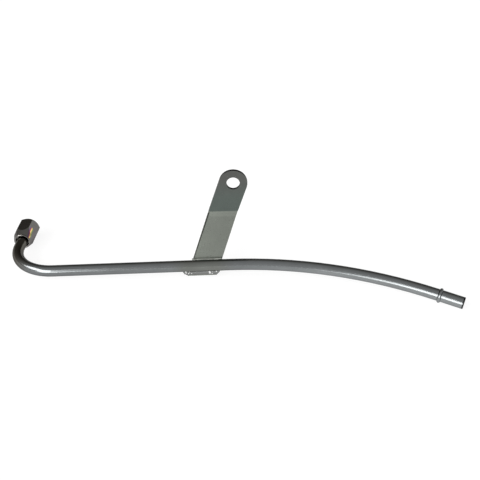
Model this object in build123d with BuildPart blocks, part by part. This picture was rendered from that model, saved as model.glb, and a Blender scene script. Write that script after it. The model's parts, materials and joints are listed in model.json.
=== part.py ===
from build123d import *
import os
from math import asin, atan2, cos, hypot, radians, sin, tan

# Engine oil dipstick tube, lying on the bench as it comes to rest, in millimetres.
# The origin is the centre of the flared tip, +Y is the way the open end of the tube nut faces,
# +X runs along the straight stretch towards the beaded end, and +Z is up.

# Tube
tube_od = 9.525
tube_wall = 0.9
leg_length = 23.2
bend_radius = 38.0
bend_angle = 90.0
run_length = 147.0
sweep_radius = 360.0
sweep_angle = 27.0
end_length = 20.6
end_chamfer = 0.4

# Flare on the nut end
flare_od = 12.3
flare_angle = 37.0

# Formed bead near the open end
bead_from_end = 18.7
bead_height = 1.15
bead_width = 2.9
bead_crest_width = 0.8
bead_shoulder_width = 2.0
bead_shoulder_height = 0.75
bead_fold_width = 1.0
bead_fold_depth = 0.6

# Flare sleeve
sleeve_head_od = 12.5
sleeve_tail_od = 11.3
sleeve_length = 12.2
sleeve_head_length = 5.0
sleeve_tail_chamfer = 0.3
sleeve_setback = 0.2
sleeve_clearance = 0.05

# Tube nut
nut_across_flats = 17.4625
nut_length = 25.6
nut_seat_depth = 11.3
nut_end_od = 14.6
nut_shoulder_length = 9.3
nut_chamfer_angle = 55.0
nut_thread_bore = 12.9
nut_relief_bore = 13.8
nut_relief_length = 5.1
nut_mouth_chamfer = 0.9
nut_clearance = 0.07
nut_face_share = 0.88
nut_seat_play = 0.14

# Bracket, a flat strip folded once and welded across the back of the tube
strip_width = 23.0
strip_thickness = 2.5
strip_slant = 20.4
strip_lean = 25.5
strip_station = 127.8
foot_drop = 9.2
fold_height = 43.2
fold_radius = 3.0
fold_steps = 4
hole_height = 25.0
hole_diameter = 10.8

# Weld beads between tube and bracket
foot_weld_radius = 3.6
foot_weld_drop = 4.6
foot_weld_standoff = 1.6
foot_weld_left_overrun = 5.4
foot_weld_right_overrun = 1.2
top_weld_radius = 2.2
top_weld_rise = 3.4
top_weld_standoff = 1.0
weld_gap = 0.01

tube_radius = tube_od / 2
bore_radius = tube_radius - tube_wall
nut_inradius = nut_across_flats / 2
nut_corner_radius = nut_inradius / cos(radians(30))
bead_radius = tube_radius + bead_height

# The part rests on a flat of the nut, on the left corner of the bracket's foot and on its cut end.
# The foot reaches lower than the nut, so the straight stretch climbs a little towards it.
rest_depth = nut_inradius
slant_rise = tan(radians(strip_slant))
half_bench = strip_width / 2 / cos(radians(strip_slant))
lean_sine = sin(radians(strip_lean))
lean_cosine = cos(radians(strip_lean))
foot_reach = bend_radius + strip_station - slant_rise * foot_drop - half_bench
foot_depth = (tube_radius + strip_thickness) * lean_sine + foot_drop * lean_cosine
run_climb = atan2(foot_depth, foot_reach) - asin(rest_depth / hypot(foot_depth, foot_reach))
along = Vector(cos(run_climb), 0, sin(run_climb))
upright = Vector(-sin(run_climb), 0, cos(run_climb))
backward = Vector(0, 1, 0)
run_plane = Plane((0, 0, 0), x_dir=along, z_dir=upright)
run_y = -leg_length - bend_radius
run_start = along * bend_radius + backward * run_y
run_end = run_start + along * run_length

# The far curve dips out of that plane until the rim of its cut end is as low as the nut
curve_reach = sweep_radius * sin(radians(sweep_angle)) + end_length * cos(radians(sweep_angle))
curve_offset = sweep_radius * (1 - cos(radians(sweep_angle))) + end_length * sin(radians(sweep_angle))
end_climb = run_end.Z + along.Z * curve_reach + rest_depth - tube_radius
curve_dip = asin(end_climb / (curve_offset * upright.Z))
curve_side = -backward * cos(curve_dip) - upright * sin(curve_dip)
curve_plane = Plane(run_end, x_dir=along, z_dir=along.cross(curve_side))

# Flare cone, measured back from the flared tip along the tube
flare_slope = tan(radians(flare_angle))
flare_radius = flare_od / 2
flare_start = (flare_radius - tube_radius) / flare_slope
lip_inner_radius = flare_radius - tube_wall / cos(radians(flare_angle))
flare_bore_start = (lip_inner_radius - bore_radius) / flare_slope

with BuildLine(run_plane) as near_route:
    Line((0, -flare_start), (0, -leg_length))
    JernArc(start=(0, -leg_length), tangent=(0, -1), radius=bend_radius, arc_size=bend_angle)
    Line((bend_radius, run_y), (bend_radius + run_length, run_y))

with BuildLine(curve_plane) as far_route:
    sweep_arc = JernArc(start=(0, 0), tangent=(1, 0), radius=sweep_radius, arc_size=sweep_angle)
    end_line = Line(sweep_arc @ 1, (sweep_arc @ 1) + (sweep_arc % 1) * end_length)

end_direction = end_line % 1
tip = end_line @ 1
bead_centre = tip - end_direction * bead_from_end
end_section = Plane(tip, x_dir=curve_plane.z_dir, z_dir=end_direction.cross(curve_plane.z_dir))
bead_section = Plane(bead_centre, x_dir=end_section.x_dir, z_dir=end_section.z_dir)

# One swept wall from the flare to the cut end, so the tube is a single solid
with BuildPart() as tube:
    with BuildSketch(Plane(near_route.wire() @ 0, z_dir=near_route.wire() % 0)):
        Circle(tube_radius)
        Circle(bore_radius, mode=Mode.SUBTRACT)
    sweep(path=near_route.wire())
    with BuildSketch(Plane(run_end, z_dir=along)):
        Circle(tube_radius)
        Circle(bore_radius, mode=Mode.SUBTRACT)
    sweep(path=far_route.wire())
    with BuildSketch(Plane.XY):
        with BuildLine():
            Polyline(
                (tube_radius, -flare_start),
                (flare_radius, 0),
                (lip_inner_radius, 0),
                (bore_radius, -flare_bore_start),
                (bore_radius, -flare_start),
                close=True,
            )
        make_face()
    revolve(axis=Axis.Y)
    with BuildSketch(end_section):
        with Locations((tube_radius, 0)):
            Rectangle(end_chamfer * 2**0.5, end_chamfer * 2**0.5, rotation=45)
    revolve(axis=Axis(tip, end_direction), mode=Mode.SUBTRACT)
    with BuildSketch(bead_section):
        with BuildLine():
            Polyline(
                (tube_radius, -bead_width / 2),
                (tube_radius + bead_shoulder_height, -bead_shoulder_width / 2),
                (bead_radius, -bead_crest_width / 2),
                (bead_radius, bead_crest_width / 2),
                (tube_radius + bead_shoulder_height, bead_shoulder_width / 2),
                (tube_radius, bead_width / 2),
                close=True,
            )
        make_face()
    revolve(axis=Axis(bead_centre, end_direction))
    with BuildSketch(bead_section):
        with BuildLine():
            Polyline(
                (bore_radius, -bead_fold_width / 2),
                (bore_radius + bead_fold_depth, 0),
                (bore_radius, bead_fold_width / 2),
                close=True,
            )
        make_face()
    revolve(axis=Axis(bead_centre, end_direction), mode=Mode.SUBTRACT)
tube.part.label = "tube"

# The sleeve backs the flare up and is trapped between it and the nut
sleeve_head_radius = sleeve_head_od / 2
sleeve_tail_radius = sleeve_tail_od / 2
sleeve_bore_radius = tube_radius + sleeve_clearance
sleeve_cone_radius = flare_radius - (sleeve_setback - sleeve_clearance) * flare_slope
sleeve_cone_start = -sleeve_clearance - (flare_radius - sleeve_bore_radius) / flare_slope
sleeve_step_y = -sleeve_head_length - sleeve_setback

with BuildPart() as sleeve:
    with BuildSketch(Plane.XY):
        with BuildLine():
            Polyline(
                (sleeve_bore_radius, -sleeve_length),
                (sleeve_tail_radius, -sleeve_length),
                (sleeve_tail_radius, sleeve_step_y),
                (sleeve_head_radius, sleeve_step_y + sleeve_head_radius - sleeve_tail_radius),
                (sleeve_head_radius, -sleeve_setback),
                (sleeve_cone_radius, -sleeve_setback),
                (sleeve_bore_radius, sleeve_cone_start),
                close=True,
            )
        make_face()
    revolve(axis=Axis.Y)
    tail_face = sleeve.faces().sort_by(Axis.Y)[0]
    chamfer(tail_face.outer_wire().edges(), length=sleeve_tail_chamfer)
sleeve.part.label = "sleeve"

# The nut is turned from hexagon bar: cone at the tube side, chamfer at the open end
nut_back_y = nut_seat_depth - nut_length
nut_back_bore = sleeve_tail_radius + nut_clearance
nut_thread_radius = nut_thread_bore / 2
nut_relief_radius = nut_relief_bore / 2
nut_cone_radius = nut_end_od / 2
nut_face_radius = nut_inradius * nut_face_share
nut_chamfer_drop = (nut_corner_radius - nut_face_radius) * tan(radians(nut_chamfer_angle))
seat_line = sleeve_step_y - sleeve_tail_radius - nut_seat_play
relief_start = seat_line + nut_relief_radius
relief_end = relief_start + nut_relief_length - (nut_relief_radius - nut_thread_radius)

with BuildPart() as tube_nut:
    with BuildSketch(Plane.XZ.offset(-nut_seat_depth)):
        RegularPolygon(radius=nut_corner_radius, side_count=6)
    extrude(amount=nut_length)
    with BuildSketch(Plane.XY):
        with BuildLine():
            Polyline(
                (0, nut_back_y),
                (nut_cone_radius, nut_back_y),
                (nut_corner_radius, nut_back_y + nut_shoulder_length),
                (nut_corner_radius, nut_seat_depth - nut_chamfer_drop),
                (nut_face_radius, nut_seat_depth),
                (0, nut_seat_depth),
                close=True,
            )
        make_face()
    revolve(axis=Axis.Y, mode=Mode.INTERSECT)
    with BuildSketch(Plane.XY):
        with BuildLine():
            Polyline(
                (0, nut_back_y),
                (nut_back_bore, nut_back_y),
                (nut_back_bore, seat_line + nut_back_bore),
                (nut_relief_radius, relief_start),
                (nut_relief_radius, relief_end),
                (nut_thread_radius, relief_end + nut_relief_radius - nut_thread_radius),
                (nut_thread_radius, nut_seat_depth - nut_mouth_chamfer),
                (nut_thread_radius + nut_mouth_chamfer, nut_seat_depth),
                (0, nut_seat_depth),
                close=True,
            )
        make_face()
    revolve(axis=Axis.Y, mode=Mode.SUBTRACT)
tube_nut.part.label = "tube_nut"

# The strip lies against the back of the tube and leans away from upright up to its fold
strip_front = upright * lean_sine - backward * lean_cosine
strip_up = upright * lean_cosine + backward * lean_sine
contact = run_start + along * strip_station - strip_front * tube_radius
lower_plane = Plane(contact, x_dir=along, z_dir=strip_front)

# The fold turns the strip upright about a line parallel to the tube
fold_centre_radius = fold_radius + strip_thickness / 2
fold_shift = fold_centre_radius * radians(strip_lean) * slant_rise
fold_start = lower_plane.from_local_coords((slant_rise * fold_height, fold_height, 0))
fold_axis = fold_start + strip_front * fold_radius

def fold_plane(share):
    """Cross section of the strip part way round the fold, its normal along the strip."""
    angle = radians(strip_lean * (1 - share))
    front = upright * sin(angle) - backward * cos(angle)
    centre = fold_axis - front * fold_centre_radius + along * fold_shift * share
    return Plane(centre, x_dir=along, z_dir=front.cross(along))


upper_origin = fold_axis + along * fold_shift + backward * fold_radius
upper_plane = Plane(upper_origin, x_dir=along, z_dir=-backward)
hole_x = slant_rise * hole_height

with BuildPart() as bracket:
    with BuildSketch(lower_plane):
        with BuildLine():
            Polyline(
                (-slant_rise * foot_drop - half_bench, -foot_drop),
                (-slant_rise * foot_drop + half_bench, -foot_drop),
                (slant_rise * fold_height + half_bench, fold_height),
                (slant_rise * fold_height - half_bench, fold_height),
                close=True,
            )
        make_face()
    extrude(amount=-strip_thickness)
    for step in range(fold_steps + 1):
        with BuildSketch(fold_plane(step / fold_steps)):
            Rectangle(2 * half_bench, strip_thickness)
    loft()
    with BuildSketch(upper_plane):
        with BuildLine():
            Polyline(
                (-half_bench, 0),
                (half_bench, 0),
                (hole_x + strip_width / 2 * cos(radians(strip_slant)),
                 hole_height - strip_width / 2 * sin(radians(strip_slant))),
                (hole_x - strip_width / 2 * cos(radians(strip_slant)),
                 hole_height + strip_width / 2 * sin(radians(strip_slant))),
                close=True,
            )
        make_face()
        with Locations((hole_x, hole_height)):
            Circle(strip_width / 2)
            Circle(hole_diameter / 2, mode=Mode.SUBTRACT)
    extrude(amount=-strip_thickness)
bracket.part.label = "bracket"

# The outside of the tube, a hair oversize, for cutting the welds back to it
with BuildPart() as tube_core:
    with BuildSketch(Plane(run_start, z_dir=along)):
        Circle(tube_radius + weld_gap)
    extrude(amount=run_length)
    with BuildSketch(Plane(run_end, z_dir=along)):
        Circle(tube_radius + weld_gap)
    sweep(path=far_route.wire())

# Fillet welds fill the wedge between tube and strip, the big one below the line of contact
foot_weld_left = -slant_rise * foot_weld_drop - half_bench - foot_weld_left_overrun
foot_weld_right = -slant_rise * foot_weld_drop + half_bench + foot_weld_right_overrun
foot_weld_line = contact - strip_up * foot_weld_drop + strip_front * foot_weld_standoff
foot_weld_start = foot_weld_line + along * (foot_weld_left + foot_weld_radius)
foot_weld_end = foot_weld_line + along * (foot_weld_right - foot_weld_radius)

with BuildPart() as foot_weld:
    with BuildSketch(Plane(foot_weld_start, z_dir=along)):
        Circle(foot_weld_radius)
    extrude(amount=(foot_weld_end - foot_weld_start).length)
    with Locations(foot_weld_start, foot_weld_end):
        Sphere(foot_weld_radius)
    add(bracket.part, mode=Mode.SUBTRACT)
    add(tube_core.part, mode=Mode.SUBTRACT)
foot_weld.part.label = "foot_weld"

top_weld_line = contact + strip_up * top_weld_rise + strip_front * top_weld_standoff
top_weld_start = top_weld_line + along * (slant_rise * top_weld_rise - half_bench)

with BuildPart() as top_weld:
    with BuildSketch(Plane(top_weld_start, z_dir=along)):
        Circle(top_weld_radius)
    extrude(amount=2 * half_bench)
    add(bracket.part, mode=Mode.SUBTRACT)
    add(tube_core.part, mode=Mode.SUBTRACT)
top_weld.part.label = "top_weld"

os.makedirs("parts", exist_ok=True)
export_step(tube.part, "parts/tube.step")
export_step(sleeve.part, "parts/sleeve.step")
export_step(tube_nut.part, "parts/tube_nut.step")
export_step(bracket.part, "parts/bracket.step")
export_step(foot_weld.part, "parts/foot_weld.step")
export_step(top_weld.part, "parts/top_weld.step")
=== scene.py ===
"""Dipstick tube: plated finishes for the solids, thread and weld detail, and the studio."""

import json
import math

import bmesh
import bpy
from bpy.props import FloatProperty, FloatVectorProperty, IntProperty, PointerProperty
from bpy.types import Operator, Panel, PropertyGroup
from mathutils import Matrix, Vector, noise
from mathutils.bvhtree import BVHTree


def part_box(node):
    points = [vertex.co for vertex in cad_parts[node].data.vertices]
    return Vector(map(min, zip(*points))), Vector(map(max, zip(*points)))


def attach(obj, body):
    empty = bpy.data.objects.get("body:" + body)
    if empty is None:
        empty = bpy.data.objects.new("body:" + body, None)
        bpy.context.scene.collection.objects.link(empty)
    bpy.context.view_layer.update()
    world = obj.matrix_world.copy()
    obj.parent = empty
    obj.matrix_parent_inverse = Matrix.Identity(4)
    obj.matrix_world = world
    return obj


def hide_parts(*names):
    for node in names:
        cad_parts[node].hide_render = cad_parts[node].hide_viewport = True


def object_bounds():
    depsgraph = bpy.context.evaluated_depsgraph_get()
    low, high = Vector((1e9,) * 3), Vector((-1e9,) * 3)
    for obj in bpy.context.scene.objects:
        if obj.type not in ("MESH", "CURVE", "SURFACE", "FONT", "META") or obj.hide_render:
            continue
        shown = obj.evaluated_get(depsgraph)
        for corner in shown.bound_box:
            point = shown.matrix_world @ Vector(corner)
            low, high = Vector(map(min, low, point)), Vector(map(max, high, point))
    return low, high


bl_info = {
    "name": "Dipstick tube",
    "version": (1, 0, 0),
    "blender": (4, 5, 0),
    "location": "View3D > Sidebar > Dipstick tube",
    "description": "Zinc plated finishes, nut thread, weld beads and studio for a dipstick tube",
    "category": "Object",
}

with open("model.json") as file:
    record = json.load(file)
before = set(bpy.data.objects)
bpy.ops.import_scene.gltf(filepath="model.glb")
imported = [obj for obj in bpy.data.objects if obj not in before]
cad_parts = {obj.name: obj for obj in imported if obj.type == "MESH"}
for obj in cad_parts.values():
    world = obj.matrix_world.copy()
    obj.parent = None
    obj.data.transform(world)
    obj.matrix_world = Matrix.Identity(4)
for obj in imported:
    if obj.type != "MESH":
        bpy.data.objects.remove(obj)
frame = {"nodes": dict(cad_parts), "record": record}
nodes = frame["nodes"]
cad_box = [list(corner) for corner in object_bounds()]

MM = 0.001
EVEN = (1.0, 1.0, 1.0)
RIGHT, AWAY, UP = (1.0, 0.0, 0.0), (0.0, 1.0, 0.0), (0.0, 0.0, 1.0)


def find_mount(name):
    """A mount of the part's record, by its name."""
    return next(item for item in frame["record"]["mounts"] if item["name"] == name)


# The cut end of the tube lies past its mount by the chamfer.
end_mount = find_mount("tube_end")
END_CHAMFER_MM = 0.4
END_DIRECTION = tuple(end_mount["axis"])
END_REACH = (
    sum(a * b for a, b in zip(END_DIRECTION, end_mount["pos_m"]))
    + (end_mount["dims"]["length_mm"] / 2 + END_CHAMFER_MM) * MM
)

# Lengths are in metres and a noise scale is in patches for each metre. A pair of lengths says where
# a tone starts to change and where it has changed.

# Every plating: the slow cloud, the fine lines, and the tint of the shine at a glancing angle.
CLOUD_SCALE = 70.0
CLOUD_TONES = ((0.3, 0.93), (0.55, 1.0), (0.75, 1.06))
LINE_SCALE = 1800.0
LINE_SPAN = (0.3, 0.7)
LINE_GLOSS, LINE_DULL = 0.01, 0.02
GLANCE_TINT = (0.45, 0.45, 0.45, 1.0)

# Fine lines run the way of the small number: along the drawn tube, the nut's bar and the strip.
DRAWN_LINES = (0.02, 1.0, 1.0)
BAR_LINES = (1.0, 0.05, 1.0)
STRIP_LINES = (1.0, 1.0, 0.12)

# Edges sharper than this, in degrees, are rounded.
EASED_ANGLE = 25.0

# Tube: a brownish tone beside the welds, a painted reflection of the bracket, and how sharply the
# dark band at the cut end begins.
BRACKET_REFLECTION_START, BRACKET_REFLECTION_END = (0.138, 0.150), (0.176, 0.190)
BRACKET_REFLECTION_TINT = (0.93, 0.92, 0.84)
CUT_FADE = 0.6

# Nut: darker and warmer patches in the zinc.
HUE_SCALE = 260.0
HUE_SHARE = 0.5
HUE_TINTS = ((0.35, (0.9, 0.9, 0.9)), (0.5, EVEN), (0.62, (1.06, 0.95, 1.1)))

# Rainbow film on the nut's upper right flat, whose bright yellow is a painted highlight streak: its
# shift to one side, how much it leans from where the nut tapers toward the tube, where it starts
# and stops, and the height above which it shows.
ACROSS_FLAT = (0.5, 0.0, -math.cos(math.radians(30.0)))
FILM_HIGHLIGHT_SHIFT = 0.00175
FILM_HIGHLIGHT_LEAN = 0.35
TAPER_START = 0.008
FILM_HIGHLIGHT_START, FILM_HIGHLIGHT_STOP = (-0.0152, -0.0142), (-0.0035, -0.001)
FILM_HIGHLIGHT_FLOOR = (0.0025, 0.0035)
FILM_HIGHLIGHT_TONES = (
    (0.22, (0.16, 0.08, 0.2)), (0.38, (0.42, 0.12, 0.16)), (0.5, (0.95, 0.62, 0.22)),
    (0.6, (0.9, 0.72, 0.3)), (0.75, (0.2, 0.27, 0.1)),
)

# Lip round the hole at the back of the nut: its steps round the hole, the sides of its round
# section, and how much brighter than the nut it is drawn, as a painted highlight.
LIP_STEPS, LIP_SIDES = 72, 10
LIP_HIGHLIGHT = 1.7

# Thread ridge, in shares of the pitch: what stays free at each end, half its foot, half its crest.
# Its foot is sunk into the nut by the root, and it fades in and out over a few steps.
THREAD_INSET = 0.4
THREAD_FOOT, THREAD_CREST = 0.38, 0.08
THREAD_ROOT = 0.00002
THREAD_FADE_STEPS = 12.0

# Bracket, with heights from its fold: half the height over which the tone changes there to the
# painted shade above, the start of the painted highlight band below it, and the slow change of
# tone near the top.
FOLD_LINE = 0.0004
FOLD_HIGHLIGHT_BAND = (0.0042, 0.003)
TOP_SPAN = (0.012, 0.03)
TOP_TINT = (1.0, 0.87, 0.9)

# Sheared edges of the bracket. A facing goes from 0 (edge on) to 1 (square on). The burr is sought
# on the slanted part, clear of the fold, and ends just under the fold.
SIDE_FACING, CROWN_FACING = (0.3, 0.6), (0.5, 0.7)
CROWN_SPAN = (0.003, 0.0031)
FOLD_CLEAR = 0.006
BURR_SHARP = 0.7
BURR_STOP = 0.001
SHEARED_TINT = (0.3, 0.3, 0.3)

# Welds: ripples bowed like the pool that left them, lumps, and specks near the lower bead's ends,
# which are painted highlights.
TOP_WELD_PITCH = 0.7
WELD_GRAIN_DEPTH = 0.00008
RIPPLE_BOW = 60.0
RIPPLE_SHARE, RIPPLE_SINK = 0.6, 0.2
LUMP_SCALE, FINE_LUMP_SCALE = 320.0, 900.0
FINE_LUMP_SHARE, LUMP_SINK = 0.5, 0.15
SPECK_SCALE = 480.0
SPECK_SPAN = (0.57, 0.61)
SPECK_FLOOR = (-0.0045, -0.0035)
SPECK_ENDS = (0.0065, 0.0075)
WELD_MIDDLE = 0.1615

# Paper floor: how white it shows, where its gloss brightens and clears again along the part, and
# its profile as (distance inside its edge, height) up to the wall.
PAPER_WHITE = 1.1
PAPER_RISE, PAPER_FALL = (0.195, 0.26), (0.5, 0.7)
PAPER_STEPS = 64
PAPER_PROFILE = ((0.4, 0.0), (0.15, 0.08), (0.0, 0.3))

# Room, from dark behind to pale in front.
ROOM_TONES = (
    (0.0, (0.06, 0.055, 0.05)), (0.06, (0.09, 0.082, 0.072)), (0.14, (0.17, 0.16, 0.145)),
    (0.27, (0.32, 0.31, 0.30)), (0.33, (0.42, 0.42, 0.41)), (0.5, (0.6, 0.6, 0.6)),
    (0.9, (0.73, 0.73, 0.73)), (1.0, (0.82, 0.82, 0.82)),
)

# Soft lights: name, turn and climb in degrees, width and height for each metre of distance, roll.
SOFTBOXES = (
    ("front_softbox", -124.8, 19.0, (0.47, 0.86), 18.0),
    ("side_softbox", -161.0, 36.0, (0.62, 0.4), -14.0),
)
LIGHT_AIM = (0.18, -0.05)

# Camera: its right and up directions, its place and the width of its sensor in mm.
CAMERA_RIGHT = (0.99961, 0.00226, -0.02791)
CAMERA_UP = (0.02197, 0.55498, 0.83157)
CAMERA_PLACE = (0.20454, -0.50842, 0.3257)
SENSOR_WIDTH = 36.0


class TubeFinish(PropertyGroup):
    """Sizes and colours of the plated finishes."""

    plate: FloatVectorProperty(
        name="Tube plating", description="Colour of the zinc on the tube",
        subtype="COLOR", size=3, min=0.0, max=1.0, default=(0.19, 0.2, 0.203),
    )
    sheet: FloatVectorProperty(
        name="Bracket plating", description="Colour of the zinc on the bracket",
        subtype="COLOR", size=3, min=0.0, max=1.0, default=(0.192, 0.206, 0.182),
    )
    nut: FloatVectorProperty(
        name="Nut plating", description="Colour of the zinc on the nut and sleeve",
        subtype="COLOR", size=3, min=0.0, max=1.0, default=(0.165, 0.16, 0.152),
    )
    # Painted shade: a darker copy of the bracket's plating, used above its fold.
    upper_sheet_shade: FloatVectorProperty(
        name="Upper bracket plating",
        description="Colour of the zinc on the bracket above its fold",
        subtype="COLOR", size=3, min=0.0, max=1.0, default=(0.107, 0.126, 0.115),
    )
    weld: FloatVectorProperty(
        name="Weld plating", description="Colour of the zinc on the weld beads",
        subtype="COLOR", size=3, min=0.0, max=1.0, default=(0.22, 0.225, 0.22),
    )
    # Painted light: the upper weld's colour is drawn lighter than its zinc, so it shows no dark
    # line at the bracket's base.
    top_weld: FloatVectorProperty(
        name="Upper weld plating", description="Colour of the zinc on the smooth upper weld",
        subtype="COLOR", size=3, min=0.0, max=1.0, default=(0.5, 0.52, 0.48),
    )
    # Painted highlight: the bright colour of the specks near the lower weld's ends.
    spatter_highlight: FloatVectorProperty(
        name="Weld specks", description="Colour of the bright specks on the lower weld",
        subtype="COLOR", size=3, min=0.0, max=1.0, default=(0.9, 0.9, 0.9),
    )
    # Colour of the dark band at the cut end of the tube.
    cut_end_dark: FloatVectorProperty(
        name="Cut end", description="Colour of the darkened steel at the cut end of the tube",
        subtype="COLOR", size=3, min=0.0, max=1.0, default=(0.012, 0.012, 0.012),
    )
    # Darker, warmer colour on the straight leg next to the nut; its roughness is not changed.
    leg_tint: FloatVectorProperty(
        name="Leg tint",
        description="How much duller and warmer the plating is on the straight leg",
        subtype="COLOR", size=3, min=0.0, max=1.0, default=(0.66, 0.6, 0.52),
    )
    leg_dark_start: FloatProperty(
        name="Leg tone start",
        description="Distance along the run at which the duller leg starts to clear",
        unit="LENGTH", min=-0.05, max=0.1, default=0.004,
    )
    leg_dark_end: FloatProperty(
        name="Leg tone end",
        description="Distance along the run at which the plating is clear again",
        unit="LENGTH", min=-0.05, max=0.1, default=0.018,
    )
    # How far back the dark band reaches from the cut end.
    cut_band: FloatProperty(
        name="Cut end band", description="How far back the darkened steel reaches from the cut end",
        unit="LENGTH", min=0.0, max=0.01, default=0.0013,
    )
    roughness: FloatProperty(
        name="Roughness", description="Roughness of the plating on the tube",
        min=0.05, max=1.0, default=0.175,
    )
    line_depth: FloatProperty(
        name="Draw line depth", description="Height of the fine lines left by drawing the tube",
        unit="LENGTH", min=0.0, max=0.0005, default=0.00001,
    )
    edge_round: FloatProperty(
        name="Edge rounding",
        description="Width of the rounding on the edges of the nut and the bracket",
        unit="LENGTH", min=0.0, max=0.001, default=0.0002,
    )
    # The rainbow film carries a painted highlight streak; this sets their half width.
    film_highlight_width: FloatProperty(
        name="Film width", description="Half the width of the rainbow film on the nut",
        unit="LENGTH", min=0.0001, max=0.005, default=0.0023,
    )
    lip_radius: FloatProperty(
        name="Lip radius", description="Radius of the lip round the hole at the back of the nut",
        unit="LENGTH", min=0.001, max=0.02, default=0.00625,
    )
    lip_round: FloatProperty(
        name="Lip rounding", description="Half the thickness of that lip",
        unit="LENGTH", min=0.0001, max=0.002, default=0.00045,
    )
    thread_pitch: FloatProperty(
        name="Thread pitch", description="Distance from one thread ridge to the next",
        unit="LENGTH", min=0.0003, max=0.005, default=0.001411,
    )
    thread_rise: FloatProperty(
        name="Thread rise", description="Height of the thread ridges above the bore",
        unit="LENGTH", min=0.0, max=0.001, default=0.0004,
    )
    thread_steps: IntProperty(
        name="Thread steps", description="Straight pieces in one turn of the thread",
        min=12, max=240, default=72,
    )
    fold_climb: FloatProperty(
        name="Fold height", description="Height at which the bracket turns upright",
        unit="LENGTH", min=0.0, max=0.2, default=0.0408,
    )
    # Painted highlight: how much lighter the band just below the fold is drawn.
    fold_highlight: FloatProperty(
        name="Fold brightness",
        description="How much lighter the stretched plating is just below the fold",
        min=0.5, max=2.0, default=1.15,
    )
    strip_slope: FloatProperty(
        name="Strip slope",
        description="Sideways shift of the strip for each length that it climbs",
        min=-2.0, max=2.0, default=0.412,
    )
    burr_width: FloatProperty(
        name="Burr width", description="Width of the dark burr along the left edge of the strip",
        unit="LENGTH", min=0.0, max=0.005, default=0.0007,
    )
    ripple_pitch: FloatProperty(
        name="Weld ripple pitch", description="Distance from one weld ripple to the next",
        unit="LENGTH", min=0.0003, max=0.01, default=0.0017,
    )
    ripple_rise: FloatProperty(
        name="Weld ripple rise", description="Height of the weld ripples",
        unit="LENGTH", min=0.0, max=0.001, default=0.00022,
    )
    weld_rough: FloatProperty(
        name="Weld unevenness", description="Height of the lumps on the weld beads",
        unit="LENGTH", min=0.0, max=0.001, default=0.00035,
    )
    weld_hold: FloatProperty(
        name="Weld hold",
        description="Distance from the tube and the strip within which the weld keeps its shape",
        unit="LENGTH", min=0.00001, max=0.005, default=0.0008,
    )
    weld_voxel: FloatProperty(
        name="Weld detail", description="Cell size of the weld bead meshes",
        unit="LENGTH", min=0.00015, max=0.002, default=0.00025,
    )


class TubeStudio(PropertyGroup):
    """Floor, light and camera."""

    floor_colour: FloatVectorProperty(
        name="Floor", description="Colour of the paper on the floor",
        subtype="COLOR", size=3, min=0.0, max=1.0, default=(0.9, 0.9, 0.9),
    )
    floor_white: FloatProperty(
        name="Floor white",
        description="Share of plain white that the camera and the gloss see in the paper",
        min=0.0, max=1.0, default=0.8,
    )
    floor_boost: FloatProperty(
        name="Floor boost", description="How much brighter the gloss sees the paper on the right",
        min=0.0, max=4.0, default=0.45,
    )
    wall_height: FloatProperty(
        name="Wall height", description="Height of the paper wall round the table",
        unit="LENGTH", min=0.0, max=3.0, default=1.6,
    )
    lens: FloatProperty(
        name="Lens", description="Focal length of the camera on a 36 mm sensor",
        min=10.0, max=300.0, default=50.0,
    )
    key_light: FloatProperty(
        name="Key light", description="Brightness of the wide soft light in front on the left",
        min=0.0, max=50.0, default=5.5,
    )
    light_distance: FloatProperty(
        name="Light distance", description="How far the soft lights stand from the object",
        unit="LENGTH", min=0.5, max=20.0, default=8.0,
    )
    floor_reach: FloatProperty(
        name="Floor reach", description="Radius of the paper floor",
        unit="LENGTH", min=1.0, max=30.0, default=9.0,
    )
    room: FloatProperty(
        name="Room", description="Brightness of the room, which is pale in front and dark behind",
        min=0.0, max=5.0, default=1.0,
    )


def shaded(colour, factor):
    """The colour times a factor, kept within 0 to 1."""
    return tuple(min(1.0, max(0.0, channel * factor)) for channel in colour)


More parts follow.
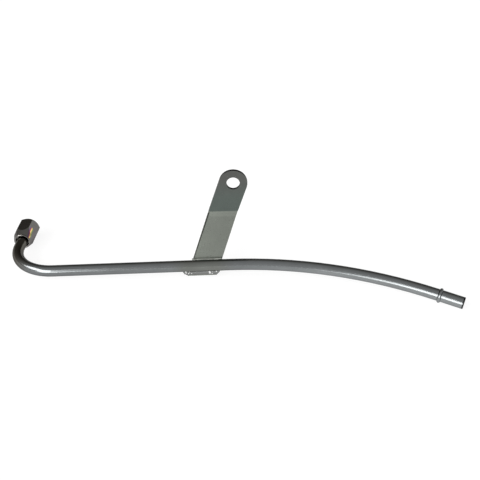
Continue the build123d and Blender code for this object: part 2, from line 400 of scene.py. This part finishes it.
class FinishNodes:
    """Adds shader nodes to one tree. Each step gives the socket that holds its result."""

    def __init__(self, tree):
        self.nodes = tree.nodes
        self.links = tree.links

    def feed(self, socket, value):
        """Links a socket to another one, or sets it to a number, a direction or a colour."""
        if isinstance(value, bpy.types.NodeSocket):
            self.links.new(value, socket)
        else:
            socket.default_value = value

    def noise(self, stretch, scale, detail=4.0, rough=0.55):
        """Noise in object space, stretched along the axes with the small numbers."""
        place = self.nodes.new("ShaderNodeTexCoord")
        mapping = self.nodes.new("ShaderNodeMapping")
        mapping.inputs["Scale"].default_value = stretch
        self.feed(mapping.inputs["Vector"], place.outputs["Object"])
        grain = self.nodes.new("ShaderNodeTexNoise")
        grain.inputs["Scale"].default_value = scale
        grain.inputs["Detail"].default_value = detail
        grain.inputs["Roughness"].default_value = rough
        self.feed(grain.inputs["Vector"], mapping.outputs["Vector"])
        return grain.outputs["Fac"]

    def ramp(self, source, stops):
        """A colour ramp over a 0 to 1 source; stops are (position, colour)."""
        ramp = self.nodes.new("ShaderNodeValToRGB")
        elements = ramp.color_ramp.elements
        while len(elements) > 1:
            elements.remove(elements[-1])
        elements[0].position = stops[0][0]
        elements[0].color = (*stops[0][1], 1.0)
        for position, colour in stops[1:]:
            element = elements.new(position)
            element.color = (*colour, 1.0)
        self.feed(ramp.inputs["Fac"], source)
        return ramp.outputs["Color"]

    def between(self, source, span, low, high):
        """A number that goes from low to high while the source passes through the span."""
        mapped = self.nodes.new("ShaderNodeMapRange")
        mapped.inputs["From Min"].default_value = span[0]
        mapped.inputs["From Max"].default_value = span[1]
        mapped.inputs["To Min"].default_value = low
        mapped.inputs["To Max"].default_value = high
        self.feed(mapped.inputs["Value"], source)
        return mapped.outputs["Result"]

    def rising(self, source, start, end):
        """Nought before the start, one after the end."""
        return self.between(source, (start, end), 0.0, 1.0)

    def falling(self, source, start, end):
        """One before the start, nought after the end."""
        return self.between(source, (start, end), 1.0, 0.0)

    def maths(self, operation, first, second=0.0):
        """One maths step on two numbers or sockets."""
        step = self.nodes.new("ShaderNodeMath")
        step.operation = operation
        self.feed(step.inputs[0], first)
        self.feed(step.inputs[1], second)
        return step.outputs["Value"]

    def measured(self, source, direction):
        """A texture coordinate measured along a direction."""
        place = self.nodes.new("ShaderNodeTexCoord")
        dot = self.nodes.new("ShaderNodeVectorMath")
        dot.operation = "DOT_PRODUCT"
        self.feed(dot.inputs[0], place.outputs[source])
        self.feed(dot.inputs[1], direction)
        return dot.outputs["Value"]

    def along(self, direction):
        """Distance of a surface point from the origin along a direction, in metres."""
        return self.measured("Object", direction)

    def facing(self, direction, start, end):
        """One where the surface faces along a direction, either way round, and nought elsewhere."""
        size = self.maths("ABSOLUTE", self.measured("Normal", direction))
        return self.rising(size, start, end)

    def blended(self, factor, first, second):
        """Mixes two colours, each a socket or a plain colour."""
        mix = self.nodes.new("ShaderNodeMix")
        mix.data_type = "RGBA"
        self.feed(mix.inputs["Factor"], factor)
        for socket, colour in ((mix.inputs["A"], first), (mix.inputs["B"], second)):
            self.feed(socket, (*colour, 1.0) if isinstance(colour, tuple) else colour)
        return mix.outputs["Result"]

    def brightened(self, colour, factor):
        """The colour times a number or a socket."""
        product = self.nodes.new("ShaderNodeVectorMath")
        product.operation = "SCALE"
        self.feed(product.inputs[0], colour)
        self.feed(product.inputs["Scale"], factor)
        return product.outputs["Vector"]

    def multiplied(self, colour, tint):
        """The colour times a tint, channel by channel."""
        product = self.nodes.new("ShaderNodeVectorMath")
        product.operation = "MULTIPLY"
        self.feed(product.inputs[0], colour)
        self.feed(product.inputs[1], tint)
        return product.outputs["Vector"]

    def tinted(self, colour, factor, tint):
        """The colour, multiplied by a tint where the factor is one."""
        return self.blended(factor, colour, self.multiplied(colour, tint))


class Plating(FinishNodes):
    """Zinc plate: metal with a slow cloudy tone, fine lines and a soft grain.

    Its colour is the socket of the plain plate, which other steps may tint and paint again.
    """

    def __init__(self, name, colour, roughness, line_depth,
                 lines=EVEN, grain=2000.0, relief=0.08, contrast=0.03):
        self.material = bpy.data.materials.new(name)
        self.material.use_nodes = True
        super().__init__(self.material.node_tree)
        self.shader = self.nodes["Principled BSDF"]
        self.shader.inputs["Metallic"].default_value = 1.0
        self.shader.inputs["Specular Tint"].default_value = GLANCE_TINT
        cloud = self.noise(EVEN, CLOUD_SCALE)
        tone = self.ramp(cloud, [(place, shaded(colour, factor)) for place, factor in CLOUD_TONES])
        fine = self.noise(lines, LINE_SCALE, detail=3.0)
        scratch = self.between(fine, LINE_SPAN, 1.0 - contrast, 1.0 + contrast)
        self.colour = self.brightened(tone, scratch)
        self.paint(self.colour)
        rough = self.between(fine, LINE_SPAN, roughness - LINE_GLOSS, roughness + LINE_DULL)
        self.feed(self.shader.inputs["Roughness"], rough)
        speck = self.noise(EVEN, grain, detail=2.0)
        bump = self.nodes.new("ShaderNodeBump")
        bump.inputs["Strength"].default_value = relief
        bump.inputs["Distance"].default_value = line_depth
        self.feed(bump.inputs["Height"], self.maths("ADD", fine, speck))
        self.feed(self.shader.inputs["Normal"], bump.outputs["Normal"])

    def paint(self, colour):
        """Sends a colour to the surface."""
        self.feed(self.shader.inputs["Base Color"], colour)


def dress(node, plating):
    """Puts a plating on every material slot of one solid."""
    slots = nodes[node].data.materials
    if len(slots) == 0:
        slots.append(plating.material)
    for index in range(len(slots)):
        slots[index] = plating.material


def ease_edges(node, width):
    """Rounds the sharp edges of one solid a little, as tumbling and plating do."""
    bevel = nodes[node].modifiers.new("eased_edges", "BEVEL")
    bevel.width = width
    bevel.segments = 2
    bevel.limit_method = "ANGLE"
    bevel.angle_limit = math.radians(EASED_ANGLE)
    bevel.harden_normals = True


def mesh_piece(name, mesh_data, plating, body, smooth=True):
    """A new piece from a bmesh, with its plating, riding on a body."""
    mesh = bpy.data.meshes.new(name)
    mesh_data.to_mesh(mesh)
    mesh_data.free()
    mesh.materials.append(plating.material)
    for polygon in mesh.polygons:
        polygon.use_smooth = smooth
    piece = bpy.data.objects.new(name, mesh)
    bpy.context.scene.collection.objects.link(piece)
    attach(piece, body)
    return piece


class DIPSTICK_OT_finish_tube(Operator):
    """Give the drawn tube its plated finish"""

    bl_idname = "dipstick.finish_tube"
    bl_label = "Finish the tube"

    def execute(self, context):
        look = context.scene.tube_finish
        tube = Plating("tube_plate", look.plate, roughness=look.roughness,
                       line_depth=look.line_depth, lines=DRAWN_LINES, grain=2500.0, relief=0.02)
        along = tube.along(RIGHT)
        # darker, warmer tone on the straight leg next to the nut
        on_leg = tube.falling(along, look.leg_dark_start, look.leg_dark_end)
        colour = tube.tinted(tube.colour, on_leg, tuple(look.leg_tint))
        # painted reflection of the bracket: a brownish tone on the tube beside the welds
        bracket_reflection = tube.maths(
            "MULTIPLY", tube.rising(along, *BRACKET_REFLECTION_START), tube.falling(along, *BRACKET_REFLECTION_END))
        colour = tube.tinted(colour, bracket_reflection, BRACKET_REFLECTION_TINT)
        # dark band at the cut end
        from_tip = tube.maths("SUBTRACT", tube.along(END_DIRECTION), END_REACH)
        cut = tube.rising(from_tip, -look.cut_band, -CUT_FADE * look.cut_band)
        tube.paint(tube.blended(cut, colour, tuple(look.cut_end_dark)))
        dress("tube", tube)
        return {"FINISHED"}


def film_highlight_share(nut, along):
    """One where the rainbow film and its painted highlight streak lie: on the upper right flat,
    away from its two ends.
    """
    share = nut.maths("MULTIPLY", nut.rising(along, *FILM_HIGHLIGHT_START), nut.falling(along, *FILM_HIGHLIGHT_STOP))
    return nut.maths("MULTIPLY", share, nut.rising(nut.along(UP), *FILM_HIGHLIGHT_FLOOR))


def film_highlight_colour(nut, along, plain, half_width):
    """The colours of the film, with its painted highlight streak, across its width, leaning where
    the nut tapers toward the tube.
    """
    on_taper = nut.maths("MINIMUM", nut.maths("ADD", along, TAPER_START), 0.0)
    line = nut.maths("ADD", nut.along(ACROSS_FLAT), FILM_HIGHLIGHT_SHIFT)
    line = nut.maths("ADD", line, nut.maths("MULTIPLY", on_taper, FILM_HIGHLIGHT_LEAN))
    return nut.ramp(nut.rising(line, -half_width, half_width), [
        (0.0, plain), *FILM_HIGHLIGHT_TONES, (1.0, plain),
    ])


def rolled_lip(radius, rounding, back):
    """A ring with a round section about the axis of the nut, centred on its back face."""
    rim = bmesh.new()
    rings = []
    for step in range(LIP_STEPS):
        turn = 2 * math.pi * step / LIP_STEPS
        ring = []
        for side in range(LIP_SIDES):
            lean = 2 * math.pi * side / LIP_SIDES
            reach = radius + rounding * math.cos(lean)
            ring.append(rim.verts.new((
                reach * math.cos(turn), back + rounding * math.sin(lean), reach * math.sin(turn),
            )))
        rings.append(ring)
    for step in range(LIP_STEPS):
        here, before = rings[step], rings[step - 1]
        for side in range(LIP_SIDES):
            rim.faces.new((here[side], here[side - 1], before[side - 1], before[side]))
    bmesh.ops.recalc_face_normals(rim, faces=rim.faces)
    return rim


class DIPSTICK_OT_finish_nut(Operator):
    """Give the nut and the sleeve their plated finish, with the thin rainbow film and a painted
    highlight streak on one flat
    """

    bl_idname = "dipstick.finish_nut"
    bl_label = "Finish the nut"

    def execute(self, context):
        look = context.scene.tube_finish
        plain = tuple(look.nut)
        nut = Plating("nut_plate", look.nut, roughness=0.2, line_depth=look.line_depth,
                      lines=BAR_LINES)
        hue = nut.ramp(nut.noise(EVEN, HUE_SCALE, detail=2.0), [
            (place, tuple(channel * share for channel, share in zip(plain, tint)))
            for place, tint in HUE_TINTS
        ])
        patchy = nut.blended(HUE_SHARE, nut.colour, hue)
        along = nut.along(AWAY)
        # the film's bright yellow is a painted highlight streak
        film = film_highlight_colour(nut, along, plain, look.film_highlight_width)
        nut.paint(nut.blended(film_highlight_share(nut, along), patchy, film))
        dress("tube_nut", nut)
        ease_edges("tube_nut", look.edge_round)
        sleeve = Plating("sleeve_plate", look.nut, roughness=0.22, line_depth=look.line_depth)
        dress("sleeve", sleeve)

        # rolled lip round the hole that the tube comes out of, drawn brighter than the nut as a
        # painted highlight
        rim = rolled_lip(look.lip_radius, look.lip_round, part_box("tube_nut")[0][1])
        lip = Plating("lip_highlight_plate", shaded(look.nut, LIP_HIGHLIGHT), roughness=0.18,
                      line_depth=look.line_depth)
        piece = mesh_piece("nut_lip", rim, lip, "nut")
        return {"FINISHED"}


class DIPSTICK_OT_cut_thread(Operator):
    """Cut the thread ridges inside the nut"""

    bl_idname = "dipstick.cut_thread"
    bl_label = "Cut the nut thread"

    def execute(self, context):
        look = context.scene.tube_finish
        mount = find_mount("nut_thread")
        pitch = look.thread_pitch
        bore = mount["dims"]["r_mm"] * MM
        foot = bore + THREAD_ROOT
        length = mount["dims"]["length_mm"] * MM
        first = mount["pos_m"][1] - length / 2 + pitch * THREAD_INSET
        turns = (length - pitch * 2 * THREAD_INSET) / pitch
        count = int(turns * look.thread_steps)
        ridge = bmesh.new()
        rows = []
        for step in range(count + 1):
            turn = 2 * math.pi * step / look.thread_steps
            here = first + pitch * step / look.thread_steps
            fade = min(1.0, step / THREAD_FADE_STEPS, (count - step) / THREAD_FADE_STEPS)
            crest = bore - look.thread_rise * fade
            profile = (
                (-THREAD_FOOT, foot), (-THREAD_CREST, crest),
                (THREAD_CREST, crest), (THREAD_FOOT, foot),
            )
            rows.append([
                ridge.verts.new((
                    radius * math.cos(turn), here + shift * pitch, radius * math.sin(turn)))
                for shift, radius in profile
            ])
        for low, high in zip(rows, rows[1:]):
            for side in range(4):
                after = (side + 1) % 4
                ridge.faces.new((low[side], low[after], high[after], high[side]))
        ridge.faces.new(rows[0])
        ridge.faces.new(rows[-1])
        bmesh.ops.recalc_face_normals(ridge, faces=ridge.faces)
        thread = Plating("thread_plate", look.nut, roughness=0.25, line_depth=look.line_depth)
        piece = mesh_piece("nut_thread_ridge", ridge, thread, "nut", smooth=False)
        return {"FINISHED"}


class DIPSTICK_OT_finish_bracket(Operator):
    """Give the strip bracket its plated finish"""

    bl_idname = "dipstick.finish_bracket"
    bl_label = "Finish the bracket"

    def execute(self, context):
        look = context.scene.tube_finish
        strip = Plating("bracket_plate", look.sheet, roughness=0.28, line_depth=look.line_depth,
                        lines=STRIP_LINES, grain=1500.0, relief=0.03, contrast=0.012)
        climb = strip.along(UP)
        fold = look.fold_climb
        # painted highlight: paler band just below the fold; painted shade: darker plating above it
        band = strip.rising(climb, fold - FOLD_HIGHLIGHT_BAND[0], fold - FOLD_HIGHLIGHT_BAND[1])
        lower = strip.blended(band, strip.colour, strip.brightened(strip.colour, look.fold_highlight))
        upper = strip.multiplied(strip.colour, tuple(
            after / before for after, before in zip(look.upper_sheet_shade, look.sheet)))
        above = strip.rising(climb, fold - FOLD_LINE, fold + FOLD_LINE)
        colour = strip.blended(above, lower, upper)
        top = strip.rising(climb, fold + TOP_SPAN[0], fold + TOP_SPAN[1])
        colour = strip.tinted(colour, top, TOP_TINT)
        # the sheared sides and the round end are darker in colour
        sides = strip.facing(RIGHT, *SIDE_FACING)
        crown = strip.rising(climb, fold + CROWN_SPAN[0], fold + CROWN_SPAN[1])
        crown = strip.maths("MULTIPLY", crown, strip.facing(UP, *CROWN_FACING))
        sheared = strip.maths("MAXIMUM", sides, crown)
        # dark burr along the left edge of the slanted part
        slant = (1.0, 0.0, -look.strip_slope)
        edge = min(vert.co.dot(Vector(slant)) for vert in nodes["bracket"].data.vertices
                   if vert.co.z < fold - FOLD_CLEAR)
        from_edge = strip.maths("SUBTRACT", strip.along(slant), edge)
        burr = strip.falling(from_edge, look.burr_width * BURR_SHARP, look.burr_width)
        burr = strip.maths("MULTIPLY", burr, strip.falling(climb, fold - BURR_STOP, fold))
        sheared = strip.maths("MAXIMUM", sheared, burr)
        strip.paint(strip.tinted(colour, sheared, SHEARED_TINT))
        dress("bracket", strip)
        ease_edges("bracket", look.edge_round)
        return {"FINISHED"}


def fine_bead(context, node, cell):
    """The solid of a weld, remeshed in even small cells, as a bmesh."""
    copy = bpy.data.objects.new(node + "_shape", nodes[node].data.copy())
    context.scene.collection.objects.link(copy)
    remesh = copy.modifiers.new("fine", "REMESH")
    remesh.mode = "VOXEL"
    remesh.voxel_size = cell
    context.view_layer.update()
    fine = bpy.data.meshes.new_from_object(copy.evaluated_get(context.evaluated_depsgraph_get()))
    bpy.data.objects.remove(copy)
    bead = bmesh.new()
    bead.from_mesh(fine)
    bead.normal_update()
    return bead


def ripple_bead(bead, look, pitch, metal, box):
    """Ripples and roughens a bead inside its box, but not where it meets the tube and the strip."""
    low, high = box
    middle = (low[2] + high[2]) / 2
    shifts = []
    for vert in bead.verts:
        bow = (vert.co.z - middle) ** 2 * RIPPLE_BOW
        wave = math.sin(2 * math.pi * (vert.co.x + bow) / pitch)
        lumps = (noise.noise(vert.co * LUMP_SCALE)
                 + FINE_LUMP_SHARE * noise.noise(vert.co * FINE_LUMP_SCALE))
        away = metal.find_nearest(vert.co)[3]
        free = min(1.0, away / look.weld_hold)
        shifts.append(free * (look.ripple_rise * (RIPPLE_SHARE * wave - RIPPLE_SINK)
                              + look.weld_rough * (lumps - LUMP_SINK)))
    for vert, shift in zip(bead.verts, shifts):
        vert.co += vert.normal * shift
        for axis in range(3):
            vert.co[axis] = min(max(vert.co[axis], low[axis]), high[axis])


def add_specks(weld, colour):
    """Painted highlights: bright specks on the spatter at the two ends of the lower weld, along its
    seam with the tube.
    """
    bright = weld.rising(weld.noise(EVEN, SPECK_SCALE, detail=1.0), *SPECK_SPAN)
    share = weld.maths("MULTIPLY", bright, weld.rising(weld.along(UP), *SPECK_FLOOR))
    from_middle = weld.maths("ABSOLUTE", weld.maths("ADD", weld.along(RIGHT), -WELD_MIDDLE))
    share = weld.maths("MULTIPLY", share, weld.rising(from_middle, *SPECK_ENDS))
    weld.paint(weld.blended(share, weld.colour, colour))


class DIPSTICK_OT_finish_welds(Operator):
    """Ripple the weld beads and give them their plated finish"""

    bl_idname = "dipstick.finish_welds"
    bl_label = "Finish the welds"

    def execute(self, context):
        look = context.scene.tube_finish
        joined = bmesh.new()
        for node in ("tube", "bracket"):
            joined.from_mesh(nodes[node].data)
        metal = BVHTree.FromBMesh(joined)
        joined.free()
        # the lower bead is bright and rough, the upper one smooth and dull. The upper one's colour
        # is painted lighter than the zinc, as painted light, so it shows no dark line under the
        # bracket.
        for node, colour, roughness, relief, pitch in (
            ("foot_weld", look.weld, 0.24, 0.4, look.ripple_pitch),
            ("top_weld", look.top_weld, 0.5, 0.1, look.ripple_pitch * TOP_WELD_PITCH),
        ):
            weld = Plating(node + "_plate", colour, roughness=roughness,
                           line_depth=WELD_GRAIN_DEPTH, grain=900.0, relief=relief)
            if node == "foot_weld":
                add_specks(weld, tuple(look.spatter_highlight))
            bead = fine_bead(context, node, look.weld_voxel)
            ripple_bead(bead, look, pitch, metal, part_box(node))
            piece = mesh_piece(node + "_ripple", bead, weld, "frame")
            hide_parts(node)
        return {"FINISHED"}


def soft_light(name, aim, side, distance, size, radiance, roll):
    """A rectangular area light placed along a direction from the aim, facing it and rolled."""
    lamp = bpy.data.lights.new(name, "AREA")
    lamp.shape = "RECTANGLE"
    lamp.size, lamp.size_y = size
    lamp.energy = radiance * math.pi * size[0] * size[1]
    holder = bpy.data.objects.new(name, lamp)
    side = Vector(side).normalized()
    holder.location = Vector(aim) + side * distance
    facing_aim = side.to_track_quat("Z", "Y").to_matrix() @ Matrix.Rotation(roll, 3, "Z")
    holder.rotation_euler = facing_aim.to_euler()
    holder.visible_camera = False
    bpy.context.scene.collection.objects.link(holder)


def paper(name, colour, show, boost):
    """White paper: diffuse, and mixed with its own white where the camera or a gloss sees it.

    In the gloss it is brighter under the right half of the part, and lights the tube from below.
    """
    material = bpy.data.materials.new(name)
    material.use_nodes = True
    material.node_tree.nodes.clear()
    sheet = FinishNodes(material.node_tree)
    rays = sheet.nodes.new("ShaderNodeLightPath").outputs
    seen = sheet.maths("MAXIMUM", rays["Is Camera Ray"], rays["Is Glossy Ray"])
    seen = sheet.maths("MAXIMUM", seen, rays["Is Transmission Ray"])
    matt = sheet.nodes.new("ShaderNodeBsdfDiffuse")
    matt.inputs["Color"].default_value = (*colour, 1.0)
    glow = sheet.nodes.new("ShaderNodeEmission")
    glow.inputs["Color"].default_value = (1.0, 1.0, 1.0, 1.0)
    along = sheet.along(RIGHT)
    extra = sheet.maths("MULTIPLY", sheet.between(along, PAPER_RISE, 0.0, boost),
                        sheet.falling(along, *PAPER_FALL))
    extra = sheet.maths("MULTIPLY", extra, rays["Is Glossy Ray"])
    strength = sheet.maths("MULTIPLY", sheet.maths("ADD", extra, 1.0), PAPER_WHITE)
    sheet.feed(glow.inputs["Strength"], strength)
    mix = sheet.nodes.new("ShaderNodeMixShader")
    sheet.feed(mix.inputs["Fac"], sheet.maths("MULTIPLY", seen, show))
    sheet.feed(mix.inputs[1], matt.outputs["BSDF"])
    sheet.feed(mix.inputs[2], glow.outputs["Emission"])
    out = sheet.nodes.new("ShaderNodeOutputMaterial")
    sheet.feed(out.inputs["Surface"], mix.outputs["Shader"])
    return material


class DIPSTICK_OT_studio(Operator):
    """Lay the floor, hang the lights and set the camera"""

    bl_idname = "dipstick.studio"
    bl_label = "Set up the studio"

    def execute(self, context):
        studio = context.scene.tube_studio
        context.scene.view_settings.view_transform = "Standard"
        self.lay_paper(context.scene, studio)
        self.light_room(context.scene, studio)
        self.set_camera(context.scene, studio)
        return {"FINISHED"}

    def lay_paper(self, scene, studio):
        """A round paper floor under the part, curved up into a low wall."""
        low = cad_box[0][2]
        middle = Vector((
            (cad_box[0][0] + cad_box[1][0]) / 2, (cad_box[0][1] + cad_box[1][1]) / 2, low))
        sweep = bmesh.new()
        rings = []
        for inset, height in (*PAPER_PROFILE, (0.0, studio.wall_height)):
            radius = studio.floor_reach - inset
            ring = []
            for step in range(PAPER_STEPS):
                turn = 2 * math.pi * step / PAPER_STEPS
                ring.append(sweep.verts.new(
                    middle + Vector((radius * math.cos(turn), radius * math.sin(turn), height))))
            rings.append(ring)
        sweep.faces.new(rings[0])
        for inner, outer in zip(rings, rings[1:]):
            for step in range(PAPER_STEPS):
                sweep.faces.new((inner[step], outer[step], outer[step - 1], inner[step - 1]))
        mesh = bpy.data.meshes.new("paper_sweep")
        sweep.to_mesh(mesh)
        sweep.free()
        floor = bpy.data.objects.new("paper_sweep", mesh)
        scene.collection.objects.link(floor)
        mesh.materials.append(paper(
            "white_paper", studio.floor_colour, studio.floor_white, studio.floor_boost))

    def light_room(self, scene, studio):
        """A room, pale in front and dark behind, with two soft lights in front on the left."""
        world = bpy.data.worlds.new("studio")
        scene.world = world
        world.use_nodes = True
        room = FinishNodes(world.node_tree)
        background = room.nodes["Background"]
        background.inputs["Strength"].default_value = studio.room
        place = room.nodes.new("ShaderNodeTexCoord")
        parts = room.nodes.new("ShaderNodeSeparateXYZ")
        room.feed(parts.inputs["Vector"], place.outputs["Generated"])
        depth = room.falling(parts.outputs["Y"], -1.0, 1.0)
        room.feed(background.inputs["Color"], room.ramp(depth, ROOM_TONES))
        aim = (*LIGHT_AIM, cad_box[0][2])
        distance = studio.light_distance
        for name, turn, climb, (wide, high), roll in SOFTBOXES:
            turn, climb = math.radians(turn), math.radians(climb)
            flat = math.cos(climb)
            side = (flat * math.cos(turn), flat * math.sin(turn), math.sin(climb))
            soft_light(name, aim, side, distance, (wide * distance, high * distance),
                       studio.key_light, math.radians(roll))

    def set_camera(self, scene, studio):
        """A camera in front of the part and above it."""
        lens = bpy.data.cameras.new("camera")
        lens.lens = studio.lens
        lens.sensor_width = SENSOR_WIDTH
        camera = bpy.data.objects.new("camera", lens)
        scene.collection.objects.link(camera)
        right, up = Vector(CAMERA_RIGHT), Vector(CAMERA_UP)
        turn = Matrix((right, up, right.cross(up))).transposed().to_4x4()
        camera.matrix_world = Matrix.Translation(Vector(CAMERA_PLACE)) @ turn
        scene.camera = camera


class VIEW3D_PT_dipstick_tube(Panel):
    """Finishes and studio of the dipstick tube"""

    bl_label = "Dipstick tube"
    bl_space_type = "VIEW_3D"
    bl_region_type = "UI"
    bl_category = "Dipstick tube"

    def draw(self, context):
        scene = context.scene
        for settings, group in ((scene.tube_finish, TubeFinish), (scene.tube_studio, TubeStudio)):
            for name in group.__annotations__:
                self.layout.prop(settings, name)
        for operator in PIECES:
            self.layout.operator(operator.bl_idname)


PIECES = (
    DIPSTICK_OT_finish_tube,
    DIPSTICK_OT_finish_nut,
    DIPSTICK_OT_cut_thread,
    DIPSTICK_OT_finish_bracket,
    DIPSTICK_OT_finish_welds,
    DIPSTICK_OT_studio,
)
CLASSES = (TubeFinish, TubeStudio) + PIECES + (VIEW3D_PT_dipstick_tube,)


def register():
    for cls in CLASSES:
        bpy.utils.register_class(cls)
    bpy.types.Scene.tube_finish = PointerProperty(type=TubeFinish)
    bpy.types.Scene.tube_studio = PointerProperty(type=TubeStudio)


def unregister():
    del bpy.types.Scene.tube_studio
    del bpy.types.Scene.tube_finish
    for cls in reversed(CLASSES):
        bpy.utils.unregister_class(cls)


def main():
    """Runs every operator in order."""
    register()
    bpy.ops.dipstick.finish_tube()
    bpy.ops.dipstick.finish_nut()
    bpy.ops.dipstick.cut_thread()
    bpy.ops.dipstick.finish_bracket()
    bpy.ops.dipstick.finish_welds()
    bpy.ops.dipstick.studio()


if __name__ == "__main__":
    main()
